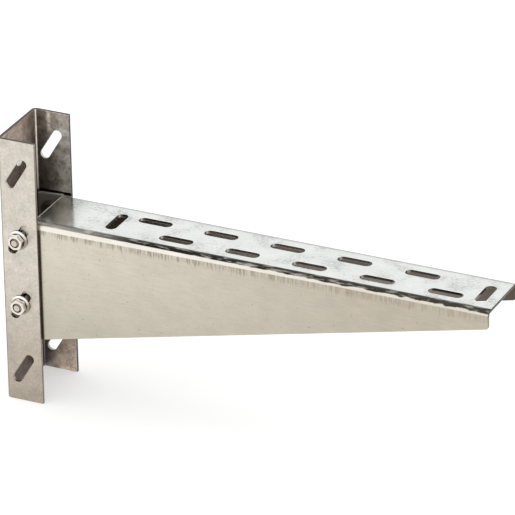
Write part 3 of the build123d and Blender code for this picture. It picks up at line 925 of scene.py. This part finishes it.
bolt_shape = made_by(tree, "mushroom_head_bolt")
for side_name, side in (("front", -1), ("rear", 1)):
    for level, height in BOLT_HEIGHTS.items():
        place = seat_matrix(side, ARM_INNER, height, side * (90 - SIDE_SLOT_LEAN))
        bolt = stood_at(bolt_shape, f"mushroom_bolt_{side_name}_{level}", place)
        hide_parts(f"bolt_{side_name}_{level}")
        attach(bolt, "root")


# Nuts. Four M6 hexagon flange nuts, cold formed and zinc plated, run down on the bolts against the
# outer faces of the channel. Shade is painted dark in the corner between the hexagon and the flange.
NUT_ACROSS_FLATS = 10.0
NUT_HEIGHT = 6.0
NUT_FLANGE = 14.2
NUT_FLANGE_RIM = 1.1
NUT_FLANGE_RISE = 0.98
NUT_CROWN_INSET = 0.25
NUT_BORE = 6.1
NUT_MOUTH = 0.5
NUT_TURNS = {"upper": 14.0, "lower": -15.0}
CHANNEL_FACE = 27.5
NUT_UPWARD_LIT_ZINC = "#fbf9f5"
NUT_SHADED_ZINC = "#9a8f82"
NUT_CROWN_LIT_ZINC = "#e4ddd1"
# Painted shade in the nut's corner, at the rim's foot and in the bore's mouth
NUT_CREASE_SHADE = "#2a241f"
NUT_TOP_DEPTH = 0.35
CORNER_SHADE_FULL, CORNER_SHADE_FADED = 0.2, 0.45
RIM_SHADE_FULL, RIM_SHADE_FADED = 0.4, 0.8

# Zinc plate on formed steel, painted bright where a face looks up and on the crown, as painted light,
# and darker elsewhere as painted shade. Shade is painted dark in the corner over the flange, at the
# rim's foot and in the bore's mouth
plated_nut, tree = new_material("Zinc plated steel, nut")
radius, rise = own_place(tree)
corner_height = (NUT_FLANGE_RIM + NUT_FLANGE_RISE) * MM
facing = put(tree, "ShaderNodeNewGeometry", take="Normal")
upward = put(tree, "ShaderNodeSeparateXYZ", {0: facing}, take="Z")
upward = put(tree, "ShaderNodeMapRange", {"Value": upward, "From Min": 0.08, "From Max": 0.34})
on_top = put(tree, "ShaderNodeMath", {
    0: rise, 1: (NUT_HEIGHT - NUT_TOP_DEPTH) * MM,
}, operation="GREATER_THAN")
off_corner = put(tree, "ShaderNodeMath", {0: rise, 1: corner_height}, operation="SUBTRACT")
off_corner = put(tree, "ShaderNodeMath", {0: off_corner}, operation="ABSOLUTE")
painted_shade = put(tree, "ShaderNodeMath", {
    0: radius, 1: (NUT_BORE / 2 + NUT_MOUTH - FASTENER_SLACK) * MM,
}, operation="LESS_THAN")
for distance, full, faded in (
    (off_corner, CORNER_SHADE_FULL, CORNER_SHADE_FADED), (rise, RIM_SHADE_FULL, RIM_SHADE_FADED),
):
    crease_shade = put(tree, "ShaderNodeMapRange", {
        "Value": distance, "From Min": full * MM, "From Max": faded * MM, "To Min": 0.95, "To Max": 0.0,
    })
    painted_shade = put(tree, "ShaderNodeMath", {0: painted_shade, 1: crease_shade}, operation="MAXIMUM")
zinc = coated(tree, NUT_SHADED_ZINC, (upward, NUT_UPWARD_LIT_ZINC), (on_top, NUT_CROWN_LIT_ZINC), (painted_shade, NUT_CREASE_SHADE))
bare_metal(tree, zinc, 0.22)

tree, size = new_tree("Hexagon flange nut", {
    "Across Flats": NUT_ACROSS_FLATS, "Height": NUT_HEIGHT, "Flange Diameter": NUT_FLANGE,
    "Flange Rim": NUT_FLANGE_RIM, "Flange Rise": NUT_FLANGE_RISE, "Crown Inset": NUT_CROWN_INSET,
    "Bore": NUT_BORE, "Mouth": NUT_MOUTH,
})
flat_half, nut_middle, flange_half, rim_middle, bore_half = (
    put(tree, "ShaderNodeMath", {0: size[whole], 1: 0.5}, operation="MULTIPLY")
    for whole in ("Across Flats", "Height", "Flange Diameter", "Flange Rim", "Bore")
)
# The hexagon, its corners cut off by the crown's cone
corner_radius = put(tree, "ShaderNodeMath", {0: size["Across Flats"], 1: 1 / sqrt(3)}, operation="MULTIPLY")
hexagon = put(tree, "GeometryNodeMeshCylinder", {
    "Vertices": 6, "Radius": corner_radius, "Depth": size["Height"],
}, take="Mesh")
hexagon = raised(tree, hexagon, nut_middle)
crown_top = put(tree, "ShaderNodeMath", {0: flat_half, 1: size["Crown Inset"]}, operation="SUBTRACT")
crown_spread = put(tree, "ShaderNodeMath", {0: size["Height"], 1: sqrt(3)}, operation="MULTIPLY")
crown_foot = put(tree, "ShaderNodeMath", {0: crown_top, 1: crown_spread}, operation="ADD")
crown = put(tree, "GeometryNodeMeshCone", {
    "Vertices": 96, "Radius Top": crown_top, "Radius Bottom": crown_foot, "Depth": size["Height"],
}, take="Mesh")
body = put(tree, "GeometryNodeMeshBoolean", {
    "Mesh 2": [hexagon, crown],
}, operation="INTERSECT", solver="EXACT")
# The flange: a thin rim with a sloping top that runs up to the flats
rim = put(tree, "GeometryNodeMeshCylinder", {
    "Vertices": 96, "Radius": flange_half, "Depth": size["Flange Rim"],
}, take="Mesh")
rim = raised(tree, rim, rim_middle)
slope = put(tree, "GeometryNodeMeshCone", {
    "Vertices": 96, "Radius Top": flat_half, "Radius Bottom": flange_half, "Depth": size["Flange Rise"],
}, take="Mesh")
slope = raised(tree, slope, size["Flange Rim"])
nut = put(tree, "GeometryNodeMeshBoolean", {
    "Mesh 2": [body, rim, slope],
}, operation="UNION", solver="EXACT")
# The bore, opened out at its mouth
bore_depth = put(tree, "ShaderNodeMath", {0: size["Height"], 1: 3.0}, operation="MULTIPLY")
bore = put(tree, "GeometryNodeMeshCylinder", {
    "Vertices": 64, "Radius": bore_half, "Depth": bore_depth,
}, take="Mesh")
mouth_half = put(tree, "ShaderNodeMath", {0: bore_half, 1: size["Mouth"]}, operation="ADD")
mouth = put(tree, "GeometryNodeMeshCone", {
    "Vertices": 64, "Radius Top": mouth_half, "Radius Bottom": bore_half, "Depth": size["Mouth"],
}, take="Mesh")
mouth_up = put(tree, "ShaderNodeMath", {0: size["Height"], 1: size["Mouth"]}, operation="SUBTRACT")
mouth = raised(tree, mouth, mouth_up)
bored = put(tree, "GeometryNodeMeshBoolean", {
    "Mesh 1": nut, "Mesh 2": [bore, mouth],
}, operation="DIFFERENCE", solver="EXACT")
end_tree(tree, marked(tree, bored), plated_nut)

nut_shape = made_by(tree, "hexagon_flange_nut")
for side_name, side in (("front", -1), ("rear", 1)):
    for level, height in BOLT_HEIGHTS.items():
        place = seat_matrix(side, CHANNEL_FACE, height, -side * NUT_TURNS[level])
        nut = stood_at(nut_shape, f"flange_nut_{side_name}_{level}", place)
        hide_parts(f"nut_{side_name}_{level}")
        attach(nut, "root")


# Studio: a pale floor that runs on under a white room, one broad soft lamp overhead and a weak one
# in front. The camera stands about where the photograph's did.
FLOOR_HALF = 6.0
FLOOR_GLOW = 0.48
ROOM_LIGHT = 0.78


def seen_not_lighting(tree):
    """One for what the camera sees and metal or glass shows, and zero for the light on the bracket."""
    rays = put(tree, "ShaderNodeLightPath", take=None).outputs
    seen = rays["Is Camera Ray"]
    for ray in ("Is Glossy Ray", "Is Transmission Ray"):
        seen = put(tree, "ShaderNodeMath", {0: seen, 1: rays[ray]}, operation="MAXIMUM")
    return seen


floor_mesh = bpy.data.meshes.new("floor")
corners = [(x * FLOOR_HALF, y * FLOOR_HALF) for x, y in ((-1, -1), (1, -1), (1, 1), (-1, 1))]
floor_mesh.from_pydata([(x, y, -CHANNEL_HEIGHT / 2 * MM) for x, y in corners], [], [(0, 1, 2, 3)])
floor = bpy.data.objects.new("floor", floor_mesh)
bpy.context.scene.collection.objects.link(floor)
floor_paint, tree = new_material("Pale studio floor")
glow = put(tree, "ShaderNodeMath", {0: seen_not_lighting(tree), 1: FLOOR_GLOW}, operation="MULTIPLY")
paint = put(tree, "ShaderNodeBsdfDiffuse", {"Color": (0.8, 0.8, 0.8, 1)})
light = put(tree, "ShaderNodeEmission", {"Color": (1, 1, 1, 1), "Strength": glow})
both = put(tree, "ShaderNodeAddShader", {0: paint, 1: light})
put(tree, "ShaderNodeOutputMaterial", {"Surface": both})
floor_mesh.materials.append(floor_paint)

world = bpy.data.worlds.new("white room")
bpy.context.scene.world = world
world.use_nodes = True
tree = world.node_tree
tree.nodes.clear()
strength = put(tree, "ShaderNodeMapRange", {
    "Value": seen_not_lighting(tree), "To Min": ROOM_LIGHT, "To Max": 1.0,
})
room = put(tree, "ShaderNodeBackground", {"Color": (1, 1, 1, 1), "Strength": strength})
put(tree, "ShaderNodeOutputWorld", {"Surface": room})

for name, spot, aim, breadth, watts in (
    ("overhead lamp", (-0.3, -0.4, 1.6), (0.18, 0, 0), 2.4, 3.0),
    ("front lamp", (-0.8, -1.7, 0.75), (0.1, 0, 0), 1.6, 1.0),
):
    lamp = bpy.data.lights.new(name, "AREA")
    lamp.size = breadth
    lamp.energy = watts
    holder = bpy.data.objects.new(name, lamp)
    holder.location = spot
    holder.rotation_euler = (Vector(aim) - Vector(spot)).to_track_quat("-Z", "Y").to_euler()
    bpy.context.scene.collection.objects.link(holder)

CAMERA_PLACE = (1.5300, -2.8020, 1.5755)
CAMERA_TURN, CAMERA_DOWN, CAMERA_ROLL = 25.672, 26.396, -0.955
CAMERA_FOCAL_PIXELS = 5108.9
PICTURE_PIXELS = 515
camera = bpy.data.objects.new("camera", bpy.data.cameras.new("camera"))
bpy.context.scene.collection.objects.link(camera)
stand = Euler((radians(90 - CAMERA_DOWN), 0, radians(CAMERA_TURN))).to_matrix()
camera.rotation_euler = (stand @ Matrix.Rotation(radians(CAMERA_ROLL), 3, "Z")).to_euler()
camera.location = CAMERA_PLACE
camera.data.sensor_width = 36.0
camera.data.lens = CAMERA_FOCAL_PIXELS / PICTURE_PIXELS * camera.data.sensor_width
camera.data.clip_start, camera.data.clip_end = 0.1, 100.0
bpy.context.scene.camera = camera
bpy.context.scene.view_settings.view_transform = "Standard"
